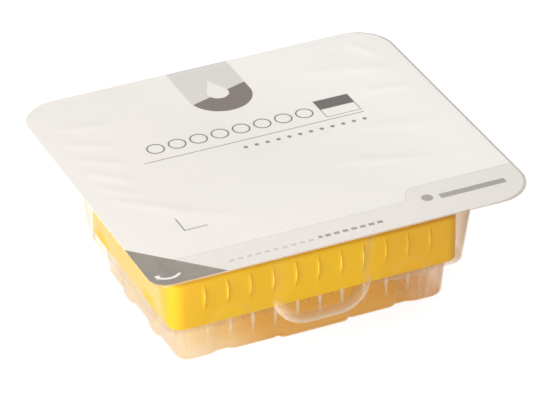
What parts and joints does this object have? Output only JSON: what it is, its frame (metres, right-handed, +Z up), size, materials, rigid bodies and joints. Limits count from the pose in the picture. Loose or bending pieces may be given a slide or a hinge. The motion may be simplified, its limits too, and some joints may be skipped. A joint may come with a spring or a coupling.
{
  "type": "box of pipette tips",
  "caption": "Sealed refill box of pipette tips: a clear formed tray with a wide flange and a peel-off film, holding a moulded rack of hollow tapered tips.",
  "frame": {"origin": "centre of the tray's floor, on the surface that the pack stands on", "axes": "+X along the long side, -Y towards the front, whose left end has the peel corner, +Z up towards the film"},
  "size_m": [0.1498, 0.1356, 0.058],
  "materials": {
    "clear_sheet": "clear formed sheet, glossy",
    "printed_film": "matt white peel film with grey print",
    "yellow_plastic": "moulded polypropylene, satin",
    "tip_plastic": "translucent polypropylene"
  },
  "bodies": {
    "root": {"blister_tray": "clear_sheet", "lidding_film": "printed_film", "tip_rack": "yellow_plastic", "tip_column_1": "tip_plastic", "tip_column_2": "tip_plastic", "tip_column_3": "tip_plastic", "tip_column_4": "tip_plastic", "tip_column_5": "tip_plastic", "tip_column_6": "tip_plastic", "tip_column_7": "tip_plastic", "tip_column_8": "tip_plastic", "tip_column_9": "tip_plastic", "tip_column_10": "tip_plastic", "tip_column_11": "tip_plastic", "tip_column_12": "tip_plastic"}
  },
  "joints": []
}
